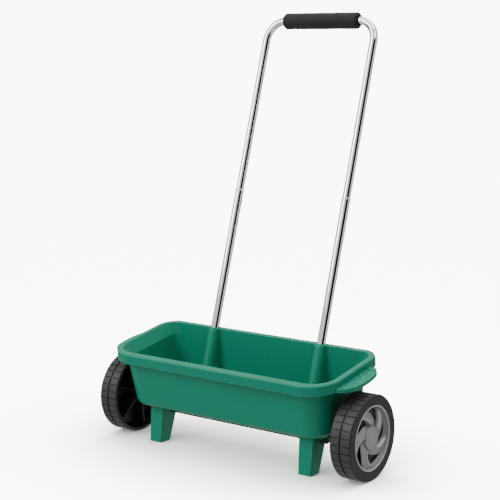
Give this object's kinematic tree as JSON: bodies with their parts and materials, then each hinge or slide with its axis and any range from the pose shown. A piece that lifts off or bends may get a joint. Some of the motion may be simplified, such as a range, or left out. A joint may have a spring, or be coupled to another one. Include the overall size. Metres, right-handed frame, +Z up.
{
  "type": "garden drop spreader",
  "caption": "Walk-behind garden drop spreader: moulded bin on wheels with a finned agitator, a sliding dosing plate and a tubular push handle.",
  "frame": {"origin": "on the ground under the middle of the whole part's box", "axes": "+X toward the driven right wheel, along the axle; +Y toward the person who pushes; +Z up"},
  "size_m": [0.5892, 0.3952, 0.8434],
  "materials": {
    "bin_green": "satin",
    "handle_chrome": "polished",
    "grip_foam": "matte",
    "screw_zinc": "satin",
    "bush_nylon": "matte",
    "rail_black": "matte",
    "axle_steel": "satin",
    "agitator_black": "matte",
    "wheel_black": "matte",
    "hub_grey": "satin",
    "slide_steel": "satin",
    "lever_black": "satin"
  },
  "bodies": {
    "chassis": {"hopper": "bin_green", "left_foot": "bin_green", "right_foot": "bin_green", "left_lower_tube": "handle_chrome", "right_lower_tube": "handle_chrome", "upper_handle": "handle_chrome", "grip": "grip_foam", "handle_screws": "screw_zinc", "handle_nuts": "screw_zinc", "joint_screws": "screw_zinc", "left_bush": "bush_nylon", "right_bush": "bush_nylon", "front_rail": "rail_black", "back_rail": "rail_black", "rail_screws": "screw_zinc", "lever_pivot": "screw_zinc", "foot_screws": "screw_zinc"},
    "drive_axle": {"axle": "axle_steel", "agitator": "agitator_black", "drive_pin": "axle_steel", "right_wheel": "wheel_black", "right_hub_cover": "hub_grey", "left_spacer": "axle_steel", "right_spacer": "axle_steel", "left_washer": "axle_steel", "right_washer": "axle_steel", "left_split_pin": "axle_steel", "right_split_pin": "axle_steel"},
    "left_wheel_set": {"left_wheel": "wheel_black", "left_hub_cover": "hub_grey"},
    "slide_plate": {"dosing_slide": "slide_steel"},
    "lever": {"dosing_lever": "lever_black"}
  },
  "joints": [
    {"name": "axle_turn", "type": "hinge", "parent": "chassis", "child": "drive_axle", "pos_m": [0, -0.093, 0.08], "axis": [1, 0, 0], "continuous": true},
    {"name": "left_wheel_turn", "type": "hinge", "parent": "chassis", "child": "left_wheel_set", "pos_m": [-0.27, -0.093, 0.08], "axis": [1, 0, 0], "continuous": true},
    {"name": "lever_swing", "type": "hinge", "parent": "chassis", "child": "lever", "pos_m": [0, -0.02608, 0.06874], "axis": [0, -0.1582, 0.9874], "range_deg": [0, 14.25]},
    {"name": "slide_open", "type": "slide", "parent": "chassis", "child": "slide_plate", "axis": [1, 0, 0], "range_m": [0, 0.01]}
  ],
  "couplings": [
    {"joint": "lever_swing", "follows": "slide_open", "rad_per_m": 24.871}
  ]
}
